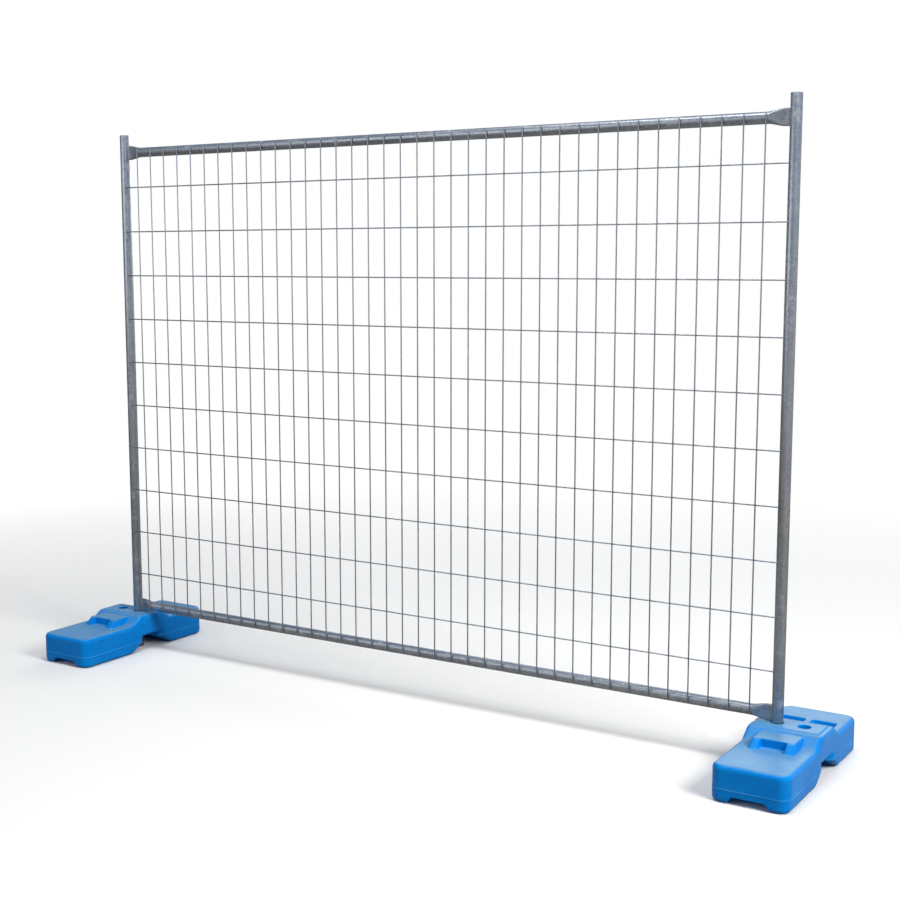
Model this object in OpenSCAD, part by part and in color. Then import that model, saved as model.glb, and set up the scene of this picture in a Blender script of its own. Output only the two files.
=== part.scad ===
// Temporary fence panel standing in its two ballast feet.
// A welded frame of round galvanised tube carries a wire mesh on its front face. The posts run on
// below the bottom rail as legs, and each leg drops through a socket in a blow-moulded foot.
// Millimetres. X runs along the rails, the mesh faces -Y, Z is up and the ground is z = 0.

/* [Frame] */
// Overall width across the two posts
panel_w = 2400; // [1600:10:3000]
// Length of a post, leg included
post_l = 1800; // [1200:10:2400]
// Outside diameter of the frame tube
tube_d = 32; // [26:1:42]
// Wall of the frame tube
tube_wall = 2; // [1.4:0.1:3]
// Height of a post's open end above the top rail's axis
top_stub = 60; // [45:1:120]
// Thickness of a rail's pinched lip
pinch_t = 5; // [4:0.1:8]
// Length over which a rail's end is pinched flat
pinch_run = 58; // [40:1:100]
// Length of the flat lip at the very end of a rail
lip_flat = 10; // [4:1:16]

/* [Mesh] */
// Diameter of a mesh wire
wire_d = 4; // [3:0.1:5]
// Upright line wires, side by side
line_wires = 38; // [12:1:39]
// Level cross wires, one above another
cross_wires = 10; // [4:1:11]
// How far a line wire's end runs past the axis of the rail it is welded to
wire_lap = 10; // [4:1:12]
// First cross wire above the bottom rail's axis, and last one below the top rail's axis
cross_margin = 118; // [60:1:180]

/* [Foot] */
// Width of a foot, along the fence
foot_w = 210; // [190:1:260]
// Height of a foot's end blocks
block_h = 100; // [85:1:120]
// Rise of the hump above the end blocks
hump_rise = 30; // [20:1:45]
// Flat top of the hump, along the foot
plateau_l = 96; // [84:1:130]
// Length of each slope of the hump
slope_run = 48; // [36:1:70]
// Flat top of the longer end block
long_block = 226; // [190:1:280]
// Flat top of the shorter end block
short_block = 168; // [150:1:220]
// Upright corner radius of a foot
corner_r = 30; // [16:1:44]
// Radius of the top and bottom edges of a foot's ends
edge_r = 14; // [8:1:20]
// Wall of the moulded shell
shell_wall = 4.5; // [3:0.1:6]

/* [Sockets] */
// Distance between a foot's two sockets
socket_pitch = 75; // [68:1:90]
// Gap all round a leg in its socket
socket_clear = 0.8; // [0.4:0.1:0.9]
// Gap between a rail's lip and the hump below it
seat_clear = 0.5; // [0.3:0.1:0.9]

/* [Grips and recesses] */
// Gap between a hump and the arch of a foot stacked on it
nest_clear = 1; // [0.5:0.1:3]
// Width of the hand slot in the arch, along the foot
slot_w = 78; // [70:1:84]
// Height of the hand slot above the arch
slot_h = 22; // [16:1:28]
// Radius of the round mouth where the hand slot opens in a foot's sides
mouth_r = 24; // [12:1:30]
// Width of the finger notch under a foot's end, at its roof
notch_w = 90; // [70:1:110]
// Height of the finger notch
notch_h = 20; // [14:1:26]
// How much wider each side of the notch is at the ground
notch_flare = 13; // [6:1:20]
// How far the notch reaches in from the end
notch_deep = 45; // [30:1:60]
// Width of each of the two pockets beside the hump
pocket_w = 70; // [50:1:76]
// Length of a pocket at the top, from the foot of the hump
pocket_l = 84; // [60:1:100]
// Depth of a pocket below the end block's top
pocket_deep = 42; // [24:1:48]
// Length of the ramp out of a pocket
ramp_run = 30; // [16:1:40]
// Rib left between the two pockets
pocket_rib = 18; // [12:1:26]
// Width of the raised table on the longer block
table_w = 124; // [100:1:150]
// Length of the table, along the foot
table_l = 105; // [90:1:140]
// Height of the table above the end block
table_h = 25; // [16:1:28]
// Groove between the hump's flat top and the table
table_gap = 10; // [6:1:20]
// Slope taken off the table's end at the hump
table_draft = 9; // [4:1:14]
// Slope of the ears at the table's outer end
ear_slope = 25; // [12:1:30]
// Width of the grip recess in the table's end, between two ears
recess_w = 72; // [56:1:80]
// Depth of the grip recess behind the top of the ears
recess_deep = 2; // [1:1:8]

/* [Filling] */
// Gap between the filling and the shell round it
fill_gap = 0.3; // [0.2:0.1:0.9]
// Diameter of the filling hole under the longer block
plug_d = 44; // [32:1:60]
// Distance of the filling hole's middle from the longer block's end
plug_in = 90; // [80:1:120]
// Width of the snap rim that holds the plug
plug_rim = 2; // [1:0.1:4]
// Thickness of the snap rim
rim_t = 2; // [1:0.1:3]
// Gap between the plug and its hole
plug_clear = 0.2; // [0.1:0.1:0.5]
// How far the plug sits up from the ground
plug_up = 1.5; // [1:0.1:2.5]

/* [Hidden] */
$fn = 64;
// Side of the hulls that a pinched end is made of, and of a soft edge's arcs
hull_fn = 32;
arc_steps = 5;
// Overshoot of a cut past the face that it opens
over = 1;

tube_r = tube_d / 2;
bore_d = tube_d - 2 * tube_wall;
wire_r = wire_d / 2;
post_x = panel_w / 2 - tube_r;
hump_h = block_h + hump_rise;
// The panel's plane, so that the foot's middle is at y = 0
panel_y = (long_block - short_block) / 2;

// A pinched tube keeps its girth, so its lip is this high
lip_h = PI * (tube_d - pinch_t) / 2 + pinch_t;
slit_t = max(pinch_t - 2 * tube_wall, 0.6);
rail_half = post_x - tube_r;
round_half = rail_half - pinch_run;
bottom_rail_z = hump_h + seat_clear + lip_h / 2;
top_rail_z = post_l - top_stub;

// Line wires lie on the rails' front, and cross wires behind them, between the posts
face_y = panel_y - tube_r;
line_y = face_y - wire_r;
cross_y = line_y + wire_d;
// A cross wire's back edge meets the round flank of a post here
cross_half = post_x - sqrt(pow(tube_r, 2) - pow(tube_r - wire_d, 2));
first_line_x = round_half;
line_pitch = 2 * first_line_x / (line_wires - 1);
first_cross_z = bottom_rail_z + cross_margin;
cross_pitch = (top_rail_z - bottom_rail_z - 2 * cross_margin) / (cross_wires - 1);

// A foot's own frame has its origin under the hump's middle, and its longer block towards -Y
socket_r = tube_r + socket_clear;
foot_x = post_x + socket_pitch / 2;
hump_base = plateau_l / 2 + slope_run;
foot_front = -hump_base - long_block;
foot_back = hump_base + short_block;
nest_h = hump_rise + nest_clear;
slot_roof = nest_h + slot_h;
table_start = -plateau_l / 2 - table_gap;
table_end = table_start - table_l;
plug_r = plug_d / 2;
plug_y = foot_front + plug_in;

// Points of an arc, from one angle to another
function arc(y, z, r, from, to) = [
    for (i = [0:arc_steps])
        let (a = from + (to - from) * i / arc_steps)
        [y + r * cos(a), z + r * sin(a)]
];

// Side outline of a foot, drawn in by a margin all round
function foot_outline(inset) =
    let (
        shift = inset * tan(atan2(hump_rise, slope_run) / 2),
        r = max(edge_r - inset, 1),
        front = foot_front + inset + r,
        back = foot_back - inset - r,
        low = inset + r,
        high = block_h - inset - r
    )
    concat(
        arc(front, low, r, 270, 180),
        arc(front, high, r, 180, 90),
        [
            [-hump_base + shift, block_h - inset],
            [-plateau_l / 2 + shift, hump_h - inset],
            [plateau_l / 2 - shift, hump_h - inset],
            [hump_base - shift, block_h - inset]
        ],
        arc(back, high, r, 90, 0),
        arc(back, low, r, 0, -90),
        [
            [hump_base + nest_clear + shift, inset],
            [plateau_l / 2 + nest_clear + shift, nest_h + inset],
            [slot_w / 2 + inset, nest_h + inset],
            [slot_w / 2 + inset, slot_roof + inset],
            [-slot_w / 2 - inset, slot_roof + inset],
            [-slot_w / 2 - inset, nest_h + inset],
            [-plateau_l / 2 - nest_clear - shift, nest_h + inset],
            [-hump_base - nest_clear - shift, inset]
        ]
    );

// A side outline, given in Y and Z, as a slab across the foot
module slab(width) {
    translate([-width / 2, 0, 0])
        rotate([90, 0, 90])
            linear_extrude(width)
                children();
}

// Plan of a foot, with its round upright corners
module foot_plan(inset) {
    r = max(corner_r - inset, 1);
    half_w = foot_w / 2 - inset;
    front = foot_front + inset;
    back = foot_back - inset;
    translate([-half_w + r, front])
        square([2 * (half_w - r), back - front]);
    translate([-half_w, front + r])
        square([2 * half_w, back - front - 2 * r]);
    for (x = [-half_w + r, half_w - r], y = [front + r, back - r])
        translate([x, y])
            circle(r);
}

// Raised table on the longer block, drawn in by a margin, or its seat in a foot stacked on it
module table(inset, base) {
    top = base + table_h - inset;
    slab(table_w - 2 * inset)
        polygon([
            [table_start - inset, base - 2 * shell_wall],
            [table_end + inset, base - 2 * shell_wall],
            [table_end + inset, base],
            [table_end + ear_slope + inset, top],
            [table_start - table_draft - inset, top],
            [table_start - inset, base]
        ]);
}

// Grip recess in the table's end
module grip_recess(grow) {
    width = recess_w + 2 * grow;
    translate([-width / 2, table_end - over, block_h - grow])
        cube([width, ear_slope + recess_deep + over + grow, table_h + over + grow]);
}

// Pocket beside the hump on the shorter block, with an upright wall and a ramp at the far end
module pocket(grow) {
    wall_y = hump_base - slope_run / 2 - grow;
    end_y = hump_base + pocket_l + grow;
    floor_z = block_h - pocket_deep - grow;
    slab(pocket_w + 2 * grow)
        polygon([
            [wall_y, hump_h + over],
            [wall_y, floor_z],
            [end_y - ramp_run, floor_z],
            [end_y, block_h],
            [end_y, hump_h + over]
        ]);
}

// Finger notch under one end of a foot
module end_notch(end_y, side, grow) {
    inner = end_y - side * (notch_deep + grow);
    outer = end_y + side * (over + grow);
    translate([0, max(inner, outer), 0])
        rotate([90, 0, 0])
            linear_extrude(abs(outer - inner))
                polygon([
                    [-notch_w / 2 - notch_flare - grow, -over],
                    [-notch_w / 2 - grow, notch_h + grow],
                    [notch_w / 2 + grow, notch_h + grow],
                    [notch_w / 2 + notch_flare + grow, -over]
                ]);
}

// Round mouth of the hand slot, at both sides of a foot
module slot_mouth(grow) {
    roof = slot_roof + grow;
    for (side = [-1, 1], wall = [-1, 1])
        difference() {
            translate([
                side * (foot_w - mouth_r + over) / 2,
                wall * (slot_w + mouth_r) / 2,
                (roof - over) / 2
            ])
                cube([mouth_r + over, mouth_r, roof + over], center = true);
            translate([side * (foot_w / 2 - mouth_r), wall * (slot_w / 2 + mouth_r), -2 * over])
                cylinder(r = mouth_r - grow, h = roof + 4 * over);
        }
}

// Everything that opens a foot, each grown by the wall that the shell keeps round it
module foot_cuts(grow) {
    for (x = [-socket_pitch, socket_pitch] / 2)
        translate([x, 0, 0])
            cylinder(r = socket_r + grow, h = hump_h + over);
    slot_mouth(grow);
    end_notch(foot_front, -1, grow);
    end_notch(foot_back, 1, grow);
    for (x = [-1, 1] * (pocket_w + pocket_rib) / 2)
        translate([x, 0, 0])
            pocket(grow);
    grip_recess(grow);
    table(-nest_clear - grow, 0);
}

// A foot's block, drawn in by a margin, with its openings
module foot_block(inset) {
    difference() {
        union() {
            intersection() {
                slab(foot_w)
                    polygon(foot_outline(inset));
                linear_extrude(hump_h)
                    foot_plan(inset);
            }
            table(inset, block_h);
        }
        foot_cuts(inset);
    }
}

// Blow-moulded skin of a foot, open only at its filling hole
module foot_shell() {
    color([0.03, 0.42, 0.78])
        difference() {
            foot_block(0);
            foot_block(shell_wall);
            translate([0, plug_y, -over])
                cylinder(r = plug_r, h = shell_wall + 2 * over);
        }
}

// Filling of a foot, cast against the shell and the plug
module foot_ballast() {
    color([0.55, 0.54, 0.52])
        difference() {
            foot_block(shell_wall + fill_gap);
            translate([0, plug_y, 0])
                cylinder(r = plug_r + plug_rim + fill_gap, h = shell_wall + rim_t + fill_gap);
        }
}

// Push-in plug of the filling hole: a disc with a snap rim above the shell's floor
module foot_plug() {
    color([0.12, 0.12, 0.13])
        translate([0, plug_y, 0]) {
            translate([0, 0, plug_up])
                cylinder(r = plug_r - plug_clear, h = shell_wall + rim_t - plug_up);
            translate([0, 0, shell_wall])
                cylinder(r = plug_r + plug_rim, h = rim_t);
        }
}

// Puts a foot under one end of the panel
module at_foot(side) {
    translate([side * foot_x, panel_y, 0])
        children();
}

// Upright tube with both ends left open
module post(side) {
    color([0.62, 0.65, 0.68])
        translate([side * post_x, panel_y, 0])
            difference() {
                cylinder(d = tube_d, h = post_l);
                translate([0, 0, -over])
                    cylinder(d = bore_d, h = post_l + 2 * over);
            }
}

// Round tube drawn flat to a lip at one end
module pinched_end(side, d, lip_t, lip_height, reach) {
    hull() {
        translate([side * round_half, 0, 0])
            rotate([0, side * 90, 0])
                translate([0, 0, -over])
                    cylinder(d = d, h = over, $fn = hull_fn);
        for (z = [-1, 1] * (lip_height - lip_t) / 2)
            translate([side * (rail_half - lip_flat), 0, z])
                rotate([0, side * 90, 0])
                    cylinder(d = lip_t, h = reach, $fn = hull_fn);
    }
}

// Level tube between the posts, pinched at both ends
module rail(z) {
    color([0.6, 0.63, 0.66])
        translate([0, panel_y, z])
            difference() {
                union() {
                    rotate([0, 90, 0])
                        cylinder(d = tube_d, h = 2 * round_half, center = true);
                    for (side = [-1, 1])
                        pinched_end(side, tube_d, pinch_t, lip_h, lip_flat);
                }
                rotate([0, 90, 0])
                    cylinder(d = bore_d, h = 2 * round_half, center = true);
                for (side = [-1, 1])
                    pinched_end(side, bore_d, slit_t, lip_h - 2 * tube_wall, slit_t);
            }
}

// Upright mesh wire, from rail to rail
module line_wire(i) {
    color([0.66, 0.68, 0.7])
        translate([-first_line_x + (i - 1) * line_pitch, line_y, bottom_rail_z - wire_lap])
            cylinder(r = wire_r, h = top_rail_z - bottom_rail_z + 2 * wire_lap);
}

// Level mesh wire behind the line wires, its ends butted against the posts
module cross_wire(i) {
    color([0.64, 0.66, 0.68])
        translate([0, cross_y, first_cross_z + (i - 1) * cross_pitch])
            rotate([0, 90, 0])
                cylinder(r = wire_r, h = 2 * cross_half, center = true);
}

post(-1);  // left_post
post(1);  // right_post
rail(bottom_rail_z);  // bottom_rail
rail(top_rail_z);  // top_rail
for (i = [1:line_wires])
    line_wire(i);
for (i = [1:cross_wires])
    cross_wire(i);
at_foot(-1) foot_shell();  // left_foot_shell
at_foot(1) foot_shell();  // right_foot_shell
at_foot(-1) foot_ballast();  // left_foot_ballast
at_foot(1) foot_ballast();  // right_foot_ballast
at_foot(-1) foot_plug();  // left_foot_plug
at_foot(1) foot_plug();  // right_foot_plug
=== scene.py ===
import math

import bmesh
import bpy
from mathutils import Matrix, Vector


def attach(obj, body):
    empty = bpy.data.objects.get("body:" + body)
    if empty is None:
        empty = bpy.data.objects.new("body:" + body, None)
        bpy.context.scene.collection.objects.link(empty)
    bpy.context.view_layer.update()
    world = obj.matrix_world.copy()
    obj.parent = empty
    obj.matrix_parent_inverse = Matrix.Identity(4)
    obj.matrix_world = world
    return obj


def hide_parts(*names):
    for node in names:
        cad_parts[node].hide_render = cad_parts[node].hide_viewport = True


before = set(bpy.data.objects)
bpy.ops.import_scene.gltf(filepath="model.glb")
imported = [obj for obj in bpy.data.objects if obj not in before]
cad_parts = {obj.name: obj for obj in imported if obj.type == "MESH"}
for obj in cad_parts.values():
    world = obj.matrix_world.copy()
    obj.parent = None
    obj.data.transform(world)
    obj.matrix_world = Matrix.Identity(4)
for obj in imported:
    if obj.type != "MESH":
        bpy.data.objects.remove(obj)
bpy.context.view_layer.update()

# POSTS
# Two upright frame posts of round steel tube, hot-dip galvanised, 32 mm across with a 2 mm wall.
# The tube is rolled and seam welded, sawn off square and left open at both ends. Each post runs on
# below the bottom rail as the leg that stands in a foot.
mm = 0.001
hair = 0.1 * mm
post_x, panel_y = 1184 * mm, 29 * mm
post_length = 1800 * mm
tube_radius, tube_wall, tube_sides = 16 * mm, 2 * mm, 48
seam_width, seam_height = 1.6 * mm, 0.25 * mm
sawn_round, sawn_angle = 0.5 * mm, 60
post_smooth_angle = 35
zinc_dark, zinc_mid = (0.22, 0.24, 0.27, 1), (0.36, 0.38, 0.41, 1)
zinc_pale, zinc_bloom = (0.54, 0.555, 0.575, 1), (0.50, 0.51, 0.52, 1)
streak_tone, spangle_tone, cloud_tone, speck_tone = 0.55, 0.45, 0.5, 0.5
bare_metal, bloom_metal = 0.95, 0.45
smooth_zinc, dull_zinc, bloom_dullness = 0.33, 0.47, 0.28
ripple_share, zinc_relief, zinc_relief_depth = 0.5, 0.22, 0.6 * mm
tube_streak, tube_spangle, tube_bloom = 0.035, 170, 0.75


def pick(piece):
    if bpy.context.mode != "OBJECT":
        bpy.ops.object.mode_set(mode="OBJECT")
    bpy.ops.object.select_all(action="DESELECT")
    piece.select_set(True)
    bpy.context.view_layer.objects.active = piece


def started(name):
    piece = bpy.context.active_object
    piece.name = piece.data.name = name
    pick(piece)
    bpy.ops.object.transform_apply(location=True, rotation=True, scale=True)
    return piece


def choose(piece, kind, wanted):
    pick(piece)
    bpy.ops.object.mode_set(mode="EDIT")
    bpy.ops.mesh.select_mode(type=kind)
    bpy.ops.mesh.select_all(action="DESELECT")
    shape = bmesh.from_edit_mesh(piece.data)
    for part in {"VERT": shape.verts, "EDGE": shape.edges, "FACE": shape.faces}[kind]:
        if wanted(part):
            part.select_set(True)
    shape.select_flush_mode()
    bmesh.update_edit_mesh(piece.data)


def finish_edit():
    bpy.ops.object.mode_set(mode="OBJECT")


def apply_modifier(piece, kind, **settings):
    pick(piece)
    bpy.ops.object.modifier_add(type=kind)
    modifier = piece.modifiers[-1]
    for name, value in settings.items():
        setattr(modifier, name, value)
    bpy.ops.object.modifier_apply(modifier=modifier.name)


def soften(piece, width, segments, degrees=30):
    apply_modifier(piece, "BEVEL", width=width, segments=segments, limit_method="ANGLE",
                   angle_limit=math.radians(degrees))


def smooth_faces(piece, degrees):
    pick(piece)
    bpy.ops.object.shade_smooth_by_angle(angle=math.radians(degrees))


def copy_of(piece, name, offset):
    pick(piece)
    bpy.ops.object.duplicate(linked=False)
    twin = bpy.context.active_object
    twin.name = twin.data.name = name
    twin.location = offset
    bpy.ops.object.transform_apply(location=True, rotation=True, scale=True)
    return twin


def mid(edge):
    return (edge.verts[0].co + edge.verts[1].co) / 2


class Finish:
    """A procedural material: its node tree, its surface shader and the piece's own coordinates."""

    def __init__(self, name):
        self.material = bpy.data.materials.new(name)
        self.material.use_nodes = True
        self.tree = self.material.node_tree
        self.shader = self.tree.nodes["Principled BSDF"]
        self.place = self.node("ShaderNodeTexCoord").outputs["Object"]

    def node(self, kind, **settings):
        made = self.tree.nodes.new(kind)
        for name, value in settings.items():
            setattr(made, name, value)
        return made

    def feed(self, socket, value):
        if isinstance(value, bpy.types.NodeSocket):
            self.tree.links.new(value, socket)
        else:
            socket.default_value = value

    def surface(self, name, value):
        self.feed(self.shader.inputs[name], value)

    def stretched(self, scale):
        mapping = self.node("ShaderNodeMapping")
        self.feed(mapping.inputs["Vector"], self.place)
        mapping.inputs["Scale"].default_value = scale
        return mapping.outputs["Vector"]

    def noise(self, scale, detail, roughness, place=None):
        made = self.node("ShaderNodeTexNoise")
        self.feed(made.inputs["Vector"], place or self.place)
        made.inputs["Scale"].default_value = scale
        made.inputs["Detail"].default_value = detail
        made.inputs["Roughness"].default_value = roughness
        return made.outputs["Fac"]

    def grains(self, scale):
        made = self.node("ShaderNodeTexVoronoi")
        self.feed(made.inputs["Vector"], self.place)
        made.inputs["Scale"].default_value = scale
        shade = self.node("ShaderNodeSeparateColor")
        self.feed(shade.inputs["Color"], made.outputs["Color"])
        return shade.outputs["Red"]

    def spread(self, value, low=0.3, high=0.7, start=0.0, end=1.0):
        """Stretches a value over a range; most of a noise lies between 0.3 and 0.7."""
        made = self.node("ShaderNodeMapRange", clamp=True)
        self.feed(made.inputs["Value"], value)
        made.inputs["From Min"].default_value = low
        made.inputs["From Max"].default_value = high
        made.inputs["To Min"].default_value = start
        made.inputs["To Max"].default_value = end
        return made.outputs["Result"]

    def sum(self, one, other, how="ADD"):
        made = self.node("ShaderNodeMath", operation=how)
        self.feed(made.inputs[0], one)
        self.feed(made.inputs[1], other)
        return made.outputs["Value"]

    def tint(self, amount, one, other):
        made = self.node("ShaderNodeMix", data_type="RGBA")
        self.feed(made.inputs["Factor"], amount)
        self.feed(made.inputs["A"], one)
        self.feed(made.inputs["B"], other)
        return made.outputs["Result"]

    def relief(self, height, strength, distance):
        made = self.node("ShaderNodeBump")
        self.feed(made.inputs["Height"], height)
        made.inputs["Strength"].default_value = strength
        made.inputs["Distance"].default_value = distance
        self.surface("Normal", made.outputs["Normal"])


def zinc(name, streak_scale, spangle_scale, bloom_share):
    finish = Finish(name)
    streaks = finish.noise(70, 5, 0.6, finish.stretched(streak_scale))
    spangle = finish.grains(spangle_scale)
    clouds = finish.noise(9, 5, 0.6)
    bloom = finish.spread(finish.noise(23, 6, 0.65), 0.56, 0.70, end=bloom_share)
    specks = finish.spread(finish.noise(420, 2, 0.5), 0.66, 0.72, end=speck_tone)
    ripples = finish.sum(finish.noise(260, 3, 0.5), ripple_share, "MULTIPLY")
    tone = finish.sum(finish.spread(streaks, end=streak_tone),
                      finish.spread(spangle, 0, 1, end=spangle_tone))
    colour = finish.tint(tone, zinc_dark, zinc_pale)
    colour = finish.tint(finish.spread(clouds, 0.4, 0.62, end=cloud_tone), colour, zinc_mid)
    colour = finish.tint(bloom, colour, zinc_bloom)
    colour = finish.tint(specks, colour, zinc_dark)
    rough = finish.sum(finish.spread(streaks, start=smooth_zinc, end=dull_zinc),
                       finish.spread(bloom, 0, 1, end=bloom_dullness))
    finish.surface("Base Color", colour)
    finish.surface("Metallic", finish.spread(bloom, 0, 1, bare_metal, bloom_metal))
    finish.surface("Roughness", rough)
    finish.relief(finish.sum(streaks, ripples), zinc_relief, zinc_relief_depth)
    return finish.material


upright_zinc = zinc("galvanised_upright_tube", (1, 1, tube_streak), tube_spangle, tube_bloom)

bpy.ops.object.select_all(action="DESELECT")
bpy.ops.mesh.primitive_cylinder_add(
    vertices=tube_sides, radius=tube_radius, depth=post_length, end_fill_type="NOTHING",
    location=(-post_x, panel_y, post_length / 2))
left_post = started("post_left")
# The tube's rolled seam: one line down its back, widened and raised a hair
seam_place = Vector((-post_x, panel_y + tube_radius, post_length / 2))
choose(left_post, "EDGE", lambda edge: (mid(edge) - seam_place).length < seam_width / 2)
bpy.ops.mesh.bevel(offset=seam_width / 2, segments=2, affect="EDGES")
finish_edit()
choose(left_post, "VERT",
       lambda point: abs(point.co.x + post_x) < hair and point.co.y > panel_y)
bpy.ops.transform.translate(value=(0, seam_height, 0))
finish_edit()
apply_modifier(left_post, "SOLIDIFY", thickness=tube_wall, offset=-1, use_rim=True)
soften(left_post, sawn_round, 2, sawn_angle)
smooth_faces(left_post, post_smooth_angle)
left_post.data.materials.append(upright_zinc)
right_post = copy_of(left_post, "post_right", (2 * post_x, 0, 0))
for post, node in ((left_post, "left_post"), (right_post, "right_post")):
    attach(post, "panel")
    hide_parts(node)

# RAILS
# Two level rails of the same tube between the posts. Both ends are pinched flat in a press, to a
# lip that stands upright against the post's side and is welded to it down both faces.
rail_end, round_end = 1168 * mm, 1110 * mm
lip_start = 1158 * mm
lip_thick, lip_high = 5 * mm, 47.4 * mm
bottom_rail_z, top_rail_z = 154.2 * mm, 1740 * mm
pinch_rings, pinch_fullness = 7, 1.4
ring_reach = 0.2 * mm
rail_smooth_angle = 40
level_zinc = zinc("galvanised_level_tube", (tube_streak, 1, 1), tube_spangle, tube_bloom)


def eased(share):
    return share * share * (3 - 2 * share)


bpy.ops.object.select_all(action="DESELECT")
bpy.ops.mesh.primitive_cylinder_add(
    vertices=tube_sides, radius=tube_radius, depth=2 * rail_end, end_fill_type="NOTHING",
    location=(0, panel_y, bottom_rail_z), rotation=(0, math.radians(90), 0))
bottom_rail = started("rail_bottom")
pinch_length = lip_start - round_end
ring_places = [round_end + pinch_length * i / pinch_rings for i in range(pinch_rings + 1)]
for side in (-1, 1):
    for ring_place in ring_places:
        choose(bottom_rail, "FACE", lambda face: True)
        bpy.ops.mesh.bisect(plane_co=(side * ring_place, 0, 0), plane_no=(1, 0, 0))
        finish_edit()
    # Each ring is made higher and thinner, and what stands out past the lip's faces is pressed flat
    for ring_place in ring_places[1:] + [rail_end]:
        share = eased(min((ring_place - round_end) / pinch_length, 1))
        ring_middle = (side * ring_place, panel_y, bottom_rail_z)
        half_thick = tube_radius + (lip_thick / 2 - tube_radius) * share
        squeeze = half_thick * (1 + pinch_fullness * share) / tube_radius
        growth = 1 + (lip_high / 2 / tube_radius - 1) * share
        on_ring = lambda point: abs(point.co.x - ring_middle[0]) < ring_reach
        choose(bottom_rail, "VERT", on_ring)
        bpy.ops.transform.resize(value=(1, squeeze, growth), center_override=ring_middle)
        finish_edit()
        for face_side in (-1, 1):
            face_y = panel_y + face_side * half_thick
            choose(bottom_rail, "VERT",
                   lambda point: on_ring(point) and (point.co.y - face_y) * face_side > 0)
            bpy.ops.transform.resize(value=(1, 0, 1),
                                     center_override=(ring_middle[0], face_y, ring_middle[2]))
            finish_edit()
apply_modifier(bottom_rail, "SOLIDIFY", thickness=tube_wall, offset=-1, use_rim=True)
smooth_faces(bottom_rail, rail_smooth_angle)
bottom_rail.data.materials.append(level_zinc)
top_rail = copy_of(bottom_rail, "rail_top", (0, 0, top_rail_z - bottom_rail_z))
for rail, node in ((bottom_rail, "bottom_rail"), (top_rail, "top_rail")):
    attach(rail, "panel")
    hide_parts(node)

# RAIL WELDS
# A bead of weld down each face of every pinched lip, where it meets the post. The bead was laid in
# short overlapping puddles before the frame was dipped, so zinc covers it as well.
puddle_radius, puddle_step, puddles = 3.1 * mm, 3.6 * mm, 12
puddle_shape = (1.05, 0.72, 0.85)
bead_from_post, bead_from_middle = 1.2 * mm, 2.6 * mm
bead_grain, bead_smooth_angle = 0.7 * mm, 80
bead_spangle, bead_bloom = 240, 0.35
weld_zinc = zinc("galvanised_weld_bead", (1, 1, 1), bead_spangle, bead_bloom)


def in_a_row(piece, count, step):
    apply_modifier(piece, "ARRAY", count=count, use_relative_offset=False,
                   use_constant_offset=True, constant_offset_displace=step)


for rail_name, rail_z in (("bottom", bottom_rail_z), ("top", top_rail_z)):
    for side_name, side in (("left", -1), ("right", 1)):
        bead_name = f"weld_{rail_name}_{side_name}"
        beads = []
        for face_side in (-1, 1):
            first_puddle = (side * (rail_end - bead_from_post),
                            panel_y + face_side * bead_from_middle,
                            rail_z - puddle_step * (puddles - 1) / 2)
            bpy.ops.object.select_all(action="DESELECT")
            bpy.ops.mesh.primitive_ico_sphere_add(subdivisions=2, radius=puddle_radius,
                                                  location=first_puddle)
            bead = started(bead_name)
            choose(bead, "VERT", lambda point: True)
            bpy.ops.transform.resize(value=puddle_shape, center_override=first_puddle)
            finish_edit()
            in_a_row(bead, puddles, (0, 0, puddle_step))
            beads.append(bead)
        pick(beads[0])
        beads[1].select_set(True)
        bpy.ops.object.join()
        bead = bpy.context.active_object
        apply_modifier(bead, "REMESH", mode="VOXEL", voxel_size=bead_grain)
        apply_modifier(bead, "SMOOTH", factor=0.5, iterations=2)
        smooth_faces(bead, bead_smooth_angle)
        bead.data.materials.append(weld_zinc)
        bead.name = bead.data.name = bead_name
        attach(bead, "panel")

# LINE WIRES
# Thirty-eight upright wires of the mesh, drawn steel 4 mm thick, sheared off square at the ends and
# welded to the front of both rails.
wire_radius, wire_sides = 2 * mm, 12
shear_round, wire_smooth_angle = 0.4 * mm, 50
line_y = 11 * mm
line_count, first_line_x = 38, 1110 * mm
line_pitch = 2 * first_line_x / (line_count - 1)
wire_lap = 10 * mm
line_length = top_rail_z - bottom_rail_z + 2 * wire_lap
wire_streak, wire_spangle, wire_bloom = 0.1, 420, 0.45
wire_zinc = zinc("galvanised_wire", (1, 1, wire_streak), wire_spangle, wire_bloom)

bpy.ops.object.select_all(action="DESELECT")
bpy.ops.mesh.primitive_cylinder_add(
    vertices=wire_sides, radius=wire_radius, depth=line_length, end_fill_type="NGON",
    location=(-first_line_x, line_y, (bottom_rail_z + top_rail_z) / 2))
line_wire = started("upright_wire_01")
soften(line_wire, shear_round, 2, sawn_angle)
smooth_faces(line_wire, wire_smooth_angle)
line_wire.data.materials.append(wire_zinc)
for i in range(line_count):
    wire = line_wire
    if i:
        wire = copy_of(line_wire, f"upright_wire_{i + 1:02d}", (i * line_pitch, 0, 0))
    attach(wire, "panel")
    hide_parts(f"line_wire_{i + 1}")

# CROSS WIRES
# Ten level wires of the mesh, of the same drawn wire, behind the line wires. Their ends butt
# against the flanks of the posts.
cross_y, cross_half = 15 * mm, 1173.42 * mm
cross_count, first_cross_z, last_cross_z = 10, 272.2 * mm, 1622 * mm
cross_pitch = (last_cross_z - first_cross_z) / (cross_count - 1)
level_wire_zinc = zinc("galvanised_level_wire", (wire_streak, 1, 1), wire_spangle, wire_bloom)

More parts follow.
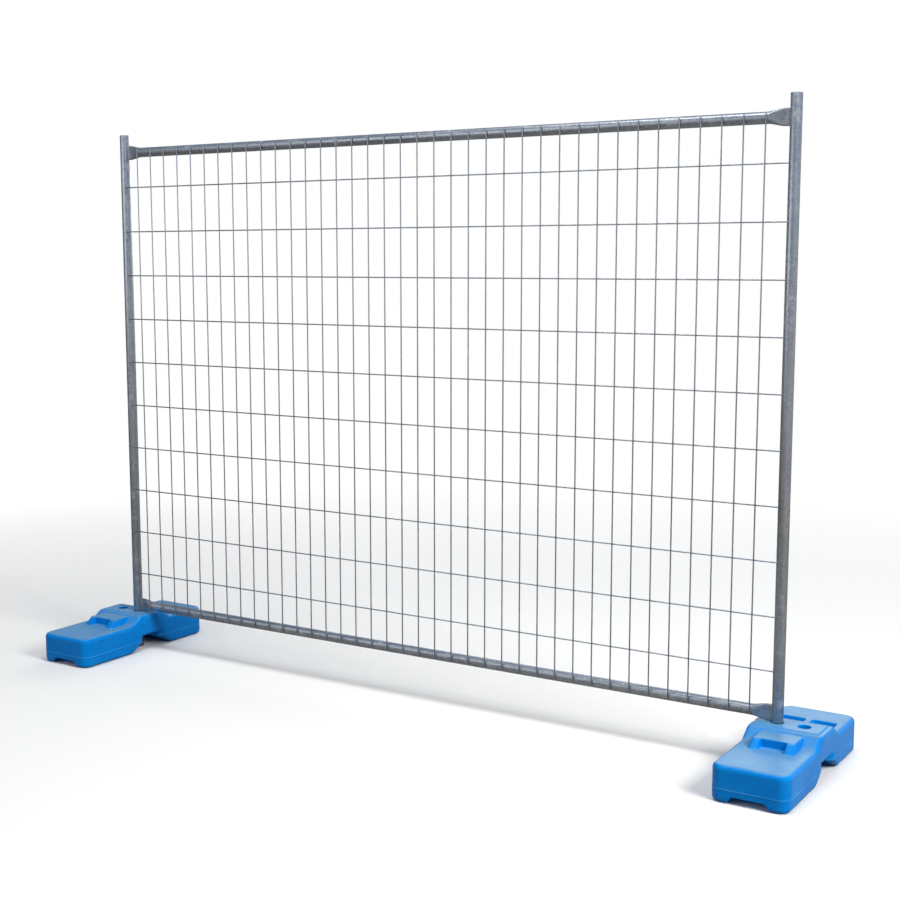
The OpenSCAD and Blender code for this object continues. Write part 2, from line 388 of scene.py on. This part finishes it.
bpy.ops.object.select_all(action="DESELECT")
bpy.ops.mesh.primitive_cylinder_add(
    vertices=wire_sides, radius=wire_radius, depth=2 * cross_half, end_fill_type="NGON",
    location=(0, cross_y, first_cross_z), rotation=(0, math.radians(90), 0))
cross_wire = started("level_wire_01")
soften(cross_wire, shear_round, 2, sawn_angle)
smooth_faces(cross_wire, wire_smooth_angle)
cross_wire.data.materials.append(level_wire_zinc)
for i in range(cross_count):
    wire = cross_wire
    if i:
        wire = copy_of(cross_wire, f"level_wire_{i + 1:02d}", (0, 0, i * cross_pitch))
    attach(wire, "panel")
    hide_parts(f"cross_wire_{i + 1}")

# MESH WELDS
# Resistance welds of the mesh: at every crossing the two wires are squeezed into each other and a
# little metal flows out round the contact. The wires' ends are tacked to rails and posts as well.
crossing_y = (line_y + cross_y) / 2
post_weld_x = cross_half + 0.5 * mm
crossing_swell, rail_swell, post_swell = (1.2, 0.75, 1.2), (1.15, 0.7, 2.2), (1.0, 1.25, 1.25)


def nuggets(name, start, swell, columns, column_step, rows, row_step):
    bpy.ops.object.select_all(action="DESELECT")
    bpy.ops.mesh.primitive_uv_sphere_add(segments=8, ring_count=5, radius=wire_radius,
                                         location=start)
    welds = started(name)
    choose(welds, "VERT", lambda point: True)
    bpy.ops.transform.resize(value=swell, center_override=start)
    finish_edit()
    in_a_row(welds, columns, (column_step, 0, 0))
    in_a_row(welds, rows, (0, 0, row_step))
    smooth_faces(welds, bead_smooth_angle)
    welds.data.materials.append(weld_zinc)
    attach(welds, "panel")


nuggets("mesh_welds", (-first_line_x, crossing_y, first_cross_z), crossing_swell,
        line_count, line_pitch, cross_count, cross_pitch)
nuggets("rail_wire_welds", (-first_line_x, panel_y - tube_radius, bottom_rail_z), rail_swell,
        line_count, line_pitch, 2, top_rail_z - bottom_rail_z)
nuggets("post_wire_welds", (-post_weld_x, cross_y, first_cross_z), post_swell,
        2, 2 * post_weld_x, cross_count, cross_pitch)

# FOOT SKINS
# Each foot is blow-moulded in one piece from blue polyethylene, with soft round edges all over and
# the mould's parting line round the sides. A hump in the middle has two sockets for legs and an
# arch under it for the hand; a table, pockets and notches serve for stacking and lifting.
foot_x = 1221.5 * mm
left_x = -foot_x
foot_wide, foot_long = 210 * mm, 586 * mm
half_wide = foot_wide / 2
foot_front, foot_back = -322 * mm, 264 * mm
block_high, hump_rise, nest_high = 100 * mm, 30 * mm, 31 * mm
plateau, slope_end = 48 * mm, 96 * mm
corner_round, corner_steps = 30 * mm, 8
edge_round, edge_steps, edge_angle = 13 * mm, 5, 25
near = 5 * mm
tool_top, tool_foot = 150 * mm, -20 * mm


def along_foot(y):
    return panel_y + y


def block(name, x, y, z):
    bpy.ops.object.select_all(action="DESELECT")
    middle = (left_x + sum(x) / 2, along_foot(sum(y) / 2), sum(z) / 2)
    bpy.ops.mesh.primitive_cube_add(size=1, location=middle,
                                    scale=(x[1] - x[0], y[1] - y[0], z[1] - z[0]))
    return started(name)


def rod(name, radius, length, middle):
    bpy.ops.object.select_all(action="DESELECT")
    bpy.ops.mesh.primitive_cylinder_add(
        vertices=64, radius=radius, depth=length,
        location=(left_x + middle[0], along_foot(middle[1]), middle[2]))
    return started(name)


def shift(piece, wanted, by):
    choose(piece, "VERT",
           lambda point: wanted(point.co.x - left_x, point.co.y - panel_y, point.co.z))
    bpy.ops.transform.translate(value=by)
    finish_edit()


def carve(piece, tool, how="DIFFERENCE"):
    apply_modifier(piece, "BOOLEAN", object=tool, operation=how, solver="EXACT")
    bpy.data.objects.remove(tool)


# The two end blocks with the hump between them, hollowed below so that feet nest
left_skin = block("left_foot_skin", (-half_wide, half_wide), (foot_front, foot_back),
                  (0, block_high))
choose(left_skin, "EDGE",
       lambda edge: abs(edge.verts[0].co.z - edge.verts[1].co.z) > block_high / 2)
bpy.ops.mesh.bevel(offset=corner_round, segments=corner_steps, affect="EDGES")
finish_edit()
for station in (-slope_end, -plateau, plateau, slope_end):
    choose(left_skin, "FACE", lambda face: True)
    bpy.ops.mesh.bisect(plane_co=(0, along_foot(station), 0), plane_no=(0, 1, 0))
    finish_edit()
shift(left_skin, lambda x, y, z: abs(y) < plateau + mm and z > block_high - near,
      (0, 0, hump_rise))
shift(left_skin, lambda x, y, z: abs(y) < plateau + mm and z < near, (0, 0, nest_high))
soften(left_skin, edge_round, edge_steps, edge_angle)

# The raised table, leaning in on all sides, with a recess for the fingers in its sloped end
table_half, table_front, table_back = 64 * mm, -175 * mm, -54 * mm
table_root, table_top = 88 * mm, 125 * mm
table_front_lean, table_back_lean, table_side_lean = 37 * mm, 13 * mm, 6 * mm
table_round, table_steps = 5 * mm, 4
table = block("table", (-table_half, table_half), (table_front, table_back),
              (table_root, table_top))
shift(table, lambda x, y, z: z > table_top - near and y < table_front + near,
      (0, table_front_lean, 0))
shift(table, lambda x, y, z: z > table_top - near and y > table_back - near,
      (0, -table_back_lean, 0))
for flank in (-1, 1):
    shift(table, lambda x, y, z: z > table_top - near and x * flank > 0,
          (-flank * table_side_lean, 0, 0))
soften(table, table_round, table_steps)
carve(left_skin, table, "UNION")

recess_half, recess_front, recess_back = 36 * mm, -190 * mm, -136 * mm
recess_floor, recess_top, recess_round = 100 * mm, 140 * mm, 3 * mm
recess = block("grip_recess", (-recess_half, recess_half), (recess_front, recess_back),
               (recess_floor, recess_top))
soften(recess, recess_round, 2)
carve(left_skin, recess)

# Two pockets behind the hump, a low ledge round the hump's top, and the two leg sockets in it
pocket_x, pocket_half, pocket_floor = 44 * mm, 35 * mm, 58 * mm
pocket_front, pocket_back, pocket_slope = 72 * mm, 180 * mm, 30 * mm
pocket_round = 8 * mm
ledge_x, ledge_reach, ledge_z = 89 * mm, 60 * mm, 126.8 * mm
ledge_y, ledge_front, ledge_out = -43 * mm, -70 * mm, 120 * mm
socket_x, socket_radius = 37.5 * mm, 17.3 * mm
socket_length, socket_middle_z = 120 * mm, 100 * mm
for flank in (-1, 1):
    pocket_middle = flank * pocket_x
    pocket = block("pocket", (pocket_middle - pocket_half, pocket_middle + pocket_half),
                   (pocket_front, pocket_back), (pocket_floor, tool_top))
    shift(pocket, lambda x, y, z: z < pocket_floor + near and y > pocket_back - near,
          (0, -pocket_slope, 0))
    soften(pocket, pocket_round, 3)
    carve(left_skin, pocket)
    carve(left_skin, block("ledge", sorted((flank * ledge_x, flank * ledge_out)),
                           (-ledge_reach, ledge_reach), (ledge_z, tool_top)))
    carve(left_skin, rod("socket", socket_radius, socket_length,
                         (flank * socket_x, 0, socket_middle_z)))
carve(left_skin, block("ledge", (-ledge_out, ledge_out), (ledge_front, ledge_y),
                       (ledge_z, tool_top)))

# The hand slot opens in the sides with a round mouth and a round brow, drawn station by station
slot_roof, slot_half, slot_end = 53 * mm, 39 * mm, 130 * mm
mouth_round, brow_round = 24 * mm, 11 * mm
mouth_stations = [81 * mm, 87 * mm, 92 * mm, 96 * mm, 99 * mm, 101.5 * mm, 103.4 * mm, 104.5 * mm,
                  105 * mm]
slot = block("hand_slot", (-slot_end, slot_end), (-slot_half, slot_half), (tool_foot, slot_roof))
for flank in (-1, 1):
    for station in mouth_stations:
        choose(slot, "FACE", lambda face: True)
        bpy.ops.mesh.bisect(plane_co=(left_x + flank * station, 0, 0), plane_no=(1, 0, 0))
        finish_edit()
    for station in mouth_stations[1:] + [slot_end]:
        spot = left_x + flank * station
        inside = max(half_wide - station, 0)
        opening = slot_half + mouth_round - math.sqrt(mouth_round**2 - (mouth_round - inside) ** 2)
        brow = brow_round - math.sqrt(brow_round**2 - max(brow_round - inside, 0) ** 2)
        at_spot = lambda point: abs(point.co.x - spot) < ring_reach
        choose(slot, "VERT", at_spot)
        bpy.ops.transform.resize(value=(1, opening / slot_half, 1),
                                 center_override=(spot, panel_y, 0))
        finish_edit()
        choose(slot, "VERT", lambda point: at_spot(point) and point.co.z > slot_roof / 2)
        bpy.ops.transform.translate(value=(0, 0, brow))
        finish_edit()
carve(left_skin, slot)

# A flared finger notch under each end
notch_half, notch_deep, notch_out = 45 * mm, 45 * mm, 20 * mm
notch_high, notch_flare, notch_round = 20 * mm, 26 * mm, 7 * mm
for end_y, end in ((foot_front, -1), (foot_back, 1)):
    notch = block("notch", (-notch_half, notch_half),
                  sorted((end_y - end * notch_deep, end_y + end * notch_out)),
                  (tool_foot, notch_high))
    for flank in (-1, 1):
        shift(notch, lambda x, y, z: z < 0 and x * flank > 0, (flank * notch_flare, 0, 0))
    soften(notch, notch_round, 3)
    carve(left_skin, notch)

# Underneath, a seat for the table of the foot below in a stack, and the filling hole
seat_half, seat_front, seat_back = 63 * mm, -185 * mm, -49 * mm
seat_foot, seat_top, seat_round = -22 * mm, 26 * mm, 6 * mm
seat_front_lean, seat_back_lean = 46 * mm, 17 * mm
seat = block("table_seat", (-seat_half, seat_half), (seat_front, seat_back), (seat_foot, seat_top))
shift(seat, lambda x, y, z: z > seat_top - near and y < seat_front + near,
      (0, seat_front_lean, 0))
shift(seat, lambda x, y, z: z > seat_top - near and y > seat_back - near,
      (0, -seat_back_lean, 0))
soften(seat, seat_round, 3)
carve(left_skin, seat)
filling_hole_radius, filling_hole_length = 22.2 * mm, 30 * mm
filling_hole_middle = (0, -232 * mm, -8 * mm)
carve(left_skin, rod("filling_hole", filling_hole_radius, filling_hole_length,
                     filling_hole_middle))

# Moulded plastic has no sharp edge, so the whole skin is remeshed, smoothed and thinned
skin_grain, skin_smoothings, skin_share = 1.7 * mm, 4, 0.28
apply_modifier(left_skin, "REMESH", mode="VOXEL", voxel_size=skin_grain)
apply_modifier(left_skin, "SMOOTH", factor=0.5, iterations=skin_smoothings)
apply_modifier(left_skin, "DECIMATE", ratio=skin_share)

# The parting line stands out from the side walls by less than a millimetre
parting_z, parting_rise = 37 * mm, 0.7 * mm
parting_cuts = (-1.0 * mm, -0.4 * mm, 0.4 * mm, 1.0 * mm)
parting_half, parting_band, wall_slack = 0.5 * mm, 8 * mm, 3 * mm


def on_side_wall(point):
    out_x = max(abs(point.x - left_x) - (half_wide - corner_round), 0)
    out_y = max(abs(point.y) - (foot_long / 2 - corner_round), 0)
    return math.hypot(out_x, out_y) > corner_round - wall_slack


for cut in parting_cuts:
    choose(left_skin, "FACE",
           lambda face: abs(face.calc_center_median().z - parting_z) < parting_band)
    bpy.ops.mesh.bisect(plane_co=(0, 0, parting_z + cut), plane_no=(0, 0, 1))
    finish_edit()
choose(left_skin, "VERT",
       lambda point: abs(point.co.z - parting_z) < parting_half and on_side_wall(point.co))
bpy.ops.transform.shrink_fatten(value=parting_rise)
finish_edit()
pick(left_skin)
bpy.ops.object.shade_smooth()
apply_modifier(left_skin, "WEIGHTED_NORMAL", mode="FACE_AREA", weight=50)

# Glossy blue all through, mottled, with drag marks and rub marks, and dust on what faces up
foot_blue, foot_deep = (0.0, 0.23, 0.72, 1), (0.0, 0.186, 0.62, 1)
foot_light, light_share = (0.0, 0.30, 0.81, 1), 0.35
# The scuffs' pale blue, which also paints the highlight along the parting line
scuff_and_highlight_blue, scuff_share = (0.12, 0.44, 0.82, 1), 0.3
foot_dust, thin_dust, thick_dust = (0.24, 0.36, 0.27, 1), 0.28, 0.55
drag_stretch, rub_stretch, flow_stretch = (520, 520, 14), (9, 9, 620), (3, 3, 260)
# Width and strength of the painted highlight along the parting line
highlight_edge, highlight_share, least_highlight = 1.2 * mm, 0.6, 0.3
gloss_rough, dull_rough, dust_rough = 0.16, 0.25, 0.45
flow_share, peel_share, skin_relief, skin_relief_depth = 0.6, 0.35, 0.16, 1.2 * mm


def upward(finish, vector):
    parts = finish.node("ShaderNodeSeparateXYZ")
    finish.feed(parts.inputs["Vector"], vector)
    return parts.outputs["Z"]


skin = Finish("foot_blue_polyethylene")
mottle = skin.noise(7, 5, 0.6)
colour = skin.tint(skin.spread(mottle, 0.32, 0.68), foot_deep, foot_blue)
pale_spots = skin.spread(skin.noise(31, 4, 0.55), 0.52, 0.74, end=light_share)
colour = skin.tint(pale_spots, colour, foot_light)
drag_marks = skin.noise(1, 3, 0.5, skin.stretched(drag_stretch))
drags = skin.sum(skin.spread(drag_marks, 0.63, 0.71, end=scuff_share),
                 skin.spread(skin.noise(11, 3, 0.5), 0.58, 0.70), "MULTIPLY")
rub_marks = skin.noise(1, 2, 0.5, skin.stretched(rub_stretch))
rubs = skin.sum(skin.spread(rub_marks, 0.64, 0.72, end=scuff_share),
                skin.spread(skin.noise(6, 2, 0.5), 0.48, 0.64), "MULTIPLY")
colour = skin.tint(skin.sum(drags, rubs, "MAXIMUM"), colour, scuff_and_highlight_blue)
# A painted highlight: the plastic is painted paler in a narrow band along the parting line's ridge,
# as where the ridge catches the light, less so where the mottle runs light
above_line = skin.sum(upward(skin, skin.place), parting_z, "SUBTRACT")
off_line = skin.sum(above_line, 0, "ABSOLUTE")
painted_line_highlight = skin.sum(skin.spread(off_line, parting_half, highlight_edge, highlight_share, 0),
                   skin.spread(mottle, 0.35, 0.6, least_highlight, 1), "MULTIPLY")
colour = skin.tint(painted_line_highlight, colour, scuff_and_highlight_blue)
facing_up = upward(skin, skin.node("ShaderNodeNewGeometry").outputs["Normal"])
dust_clouds = skin.spread(skin.noise(26, 7, 0.72), 0.28, 0.72, thin_dust, thick_dust)
dust = skin.sum(skin.spread(facing_up, 0.75, 0.98), dust_clouds, "MULTIPLY")
skin.surface("Base Color", skin.tint(dust, colour, foot_dust))
rough = skin.spread(skin.noise(19, 5, 0.6), start=gloss_rough, end=dull_rough)
skin.surface("Roughness", skin.sum(rough, skin.sum(dust, dust_rough, "MULTIPLY")))
skin.shader.inputs["Specular IOR Level"].default_value = 0.28
skin.shader.inputs["Specular Tint"].default_value = (0.40, 0.75, 1.0, 1)
flow_lines = skin.noise(1, 2, 0.5, skin.stretched(flow_stretch))
peel = skin.noise(340, 3, 0.5)
skin.relief(skin.sum(skin.sum(flow_lines, flow_share, "MULTIPLY"),
                     skin.sum(peel, peel_share, "MULTIPLY")), skin_relief, skin_relief_depth)
left_skin.data.materials.clear()
left_skin.data.materials.append(skin.material)
right_skin = copy_of(left_skin, "right_foot_skin", (2 * foot_x, 0, 0))
for foot_skin, side in ((left_skin, "left"), (right_skin, "right")):
    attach(foot_skin, f"{side}_foot")
    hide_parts(f"{side}_foot_shell")

# FILLING AND PLUGS
# Each foot is filled with concrete through a hole under its longer end, and a black plastic plug
# with a snap rim closes the hole. These keep the part's own solids and only get their finishes.
paste_dark, paste_pale = (0.30, 0.29, 0.275, 1), (0.52, 0.51, 0.49, 1)
stone_grey, stone_share = (0.40, 0.38, 0.35, 1), 0.5
paste_rough, stone_rough = 0.78, 0.95
cast_relief, cast_relief_depth = 0.5, 1 * mm
concrete = Finish("cast_concrete")
stones = concrete.grains(140)
paste = concrete.noise(55, 6, 0.65)
grey = concrete.tint(concrete.spread(paste), paste_dark, paste_pale)
grey = concrete.tint(concrete.spread(stones, 0.55, 0.95, end=stone_share), grey, stone_grey)
concrete.surface("Base Color", grey)
concrete.surface("Roughness", concrete.spread(paste, start=paste_rough, end=stone_rough))
concrete.relief(concrete.sum(paste, concrete.noise(300, 3, 0.6)), cast_relief, cast_relief_depth)

black_deep, black_pale = (0.018, 0.018, 0.02, 1), (0.05, 0.05, 0.055, 1)
black_worn, worn_share = (0.12, 0.12, 0.125, 1), 0.5
plug_smooth, plug_dull = 0.42, 0.6
plug_relief, plug_relief_depth = 0.2, 0.5 * mm
plug_black = Finish("plug_black_plastic")
grain = plug_black.noise(60, 4, 0.6)
worn = plug_black.spread(plug_black.noise(210, 3, 0.5), 0.58, 0.7, end=worn_share)
black = plug_black.tint(plug_black.spread(grain), black_deep, black_pale)
plug_black.surface("Base Color", plug_black.tint(worn, black, black_worn))
plug_black.surface("Roughness", plug_black.spread(grain, start=plug_smooth, end=plug_dull))
plug_black.relief(plug_black.noise(700, 2, 0.5), plug_relief, plug_relief_depth)
for side in ("left", "right"):
    for node, finish in (("ballast", concrete), ("plug", plug_black)):
        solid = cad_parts[f"{side}_foot_{node}"]
        solid.data.materials.clear()
        solid.data.materials.append(finish.material)

# STUDIO
# A plain pale floor that fades into a pale surround, soft boxes as lights, and a camera that stands
# where the photograph was taken from: right of the panel's front, a little above its middle.
floor_size, floor_rough = 40, 0.75
floor_seen, floor_sent_back = (0.90, 0.90, 0.90, 1), (0.28, 0.28, 0.27, 1)
fade_start, fade_end = 1.5, 4.2
bpy.ops.object.select_all(action="DESELECT")
bpy.ops.mesh.primitive_plane_add(size=floor_size, location=(0, 0, 0))
floor = bpy.context.active_object
floor.name = "floor"
ground = Finish("pale_floor")
# The floor is pale to the camera, but sends back no more light than a yard's paving does
to_camera = ground.node("ShaderNodeLightPath").outputs["Is Camera Ray"]
ground.surface("Base Color", ground.tint(to_camera, floor_sent_back, floor_seen))
ground.surface("Roughness", floor_rough)
reach = ground.node("ShaderNodeVectorMath", operation="LENGTH")
ground.feed(reach.inputs[0], ground.place)
ground.surface("Alpha", ground.spread(reach.outputs["Value"], fade_start, fade_end, 1, 0))
floor.data.materials.append(ground.material)

# What shows in the metal: a sky over pale ground, darker to the left so that tubes look round
below_tone, zenith_tone = (0.40, 0.39, 0.37, 1), (0.42, 0.60, 0.92, 1)
sky_tones = ((0.46, (0.55, 0.54, 0.52, 1)), (0.53, (0.95, 0.96, 0.98, 1)),
             (0.68, (0.66, 0.78, 0.98, 1)))
dark_side, light_side = (-0.9, 0.28), (0.7, 0.85)
lit_tone, lit_strength = (0.95, 0.97, 1.0, 1), 0.24
paper_tone, paper_strength = (1.0, 1.0, 1.0, 1), 1.0
world = bpy.data.worlds.new("surround")
bpy.context.scene.world = world
world.use_nodes = True
sky = world.node_tree
backdrop = sky.nodes["Background"]
direction = sky.nodes.new("ShaderNodeSeparateXYZ")
sky.links.new(sky.nodes.new("ShaderNodeTexCoord").outputs["Generated"], direction.inputs["Vector"])
from_below = sky.nodes.new("ShaderNodeMapRange")
from_below.inputs["From Min"].default_value = -1
sky.links.new(direction.outputs["Z"], from_below.inputs["Value"])
bands = sky.nodes.new("ShaderNodeValToRGB")
sky.links.new(from_below.outputs["Result"], bands.inputs["Fac"])
stops = bands.color_ramp.elements
stops[0].position, stops[0].color = 0.0, below_tone
stops[1].position, stops[1].color = 1.0, zenith_tone
for stop_place, tone in sky_tones:
    stop = stops.new(stop_place)
    stop.color = tone
sky.links.new(bands.outputs["Color"], backdrop.inputs["Color"])
sideways = sky.nodes.new("ShaderNodeMapRange")
sideways.inputs["From Min"].default_value, sideways.inputs["To Min"].default_value = dark_side
sideways.inputs["From Max"].default_value, sideways.inputs["To Max"].default_value = light_side
sky.links.new(direction.outputs["X"], sideways.inputs["Value"])
sky.links.new(sideways.outputs["Result"], backdrop.inputs["Strength"])
ray = sky.nodes.new("ShaderNodeLightPath")


def paper(tone, strength):
    sheet = sky.nodes.new("ShaderNodeBackground")
    sheet.inputs["Color"].default_value = tone
    sheet.inputs["Strength"].default_value = strength
    return sheet.outputs["Background"]


def layered(under, over, kind):
    chooser = sky.nodes.new("ShaderNodeMixShader")
    sky.links.new(ray.outputs[kind], chooser.inputs["Fac"])
    sky.links.new(under, chooser.inputs[1])
    sky.links.new(over, chooser.inputs[2])
    return chooser.outputs["Shader"]


surround = layered(paper(lit_tone, lit_strength), backdrop.outputs["Background"], "Is Glossy Ray")
surround = layered(surround, paper(paper_tone, paper_strength), "Is Camera Ray")
sky.links.new(surround, sky.nodes["World Output"].inputs["Surface"])


def soft_box(name, place, target, size, power, tone):
    light = bpy.data.lights.new(name, "AREA")
    light.shape, light.size, light.size_y = "RECTANGLE", size[0], size[1]
    light.energy, light.color = power, tone
    lamp = bpy.data.objects.new(name, light)
    bpy.context.scene.collection.objects.link(lamp)
    lamp.location = place
    lamp.rotation_euler = (Vector(target) - Vector(place)).to_track_quat("-Z", "Y").to_euler()
    return lamp


key_light = soft_box("key_light", place=(5.3, -1.3, 3.8), target=(0.3, 0, 0.5), size=(2.4, 2.4),
                     power=350, tone=(1.0, 0.98, 0.94))
# The zinc would mirror the key light as a white stripe, so it is kept out of reflections
key_light.visible_glossy = False
soft_box("fill_light", place=(-2.6, -4.6, 2.8), target=(-0.2, 0, 0.7), size=(3.2, 2.4),
         power=50, tone=(0.90, 0.95, 1.0))
soft_box("back_light", place=(-1.6, 5.0, 2.6), target=(0.2, 0, 0.4), size=(5.0, 1.8),
         power=80, tone=(0.95, 0.975, 1.0))
soft_box("top_light", place=(0.4, -0.9, 5.6), target=(0.3, -0.3, 0), size=(3.4, 1.5),
         power=120, tone=(1.0, 0.995, 0.98))

view_azimuth, view_elevation, view_distance = math.radians(32), math.radians(7.5), 4.35
view_target, view_lens, view_end = Vector((0.127, 0.042, 0.80)), 57, 100
towards_camera = Vector((math.sin(view_azimuth) * math.cos(view_elevation),
                         -math.cos(view_azimuth) * math.cos(view_elevation),
                         math.sin(view_elevation)))
camera = bpy.data.objects.new("camera", bpy.data.cameras.new("camera"))
bpy.context.scene.collection.objects.link(camera)
camera.data.lens = view_lens
camera.data.clip_end = view_end
camera.location = view_target + towards_camera * view_distance
camera.rotation_euler = (-towards_camera).to_track_quat("-Z", "Y").to_euler()
bpy.context.scene.camera = camera
bpy.context.scene.view_settings.view_transform = "Standard"
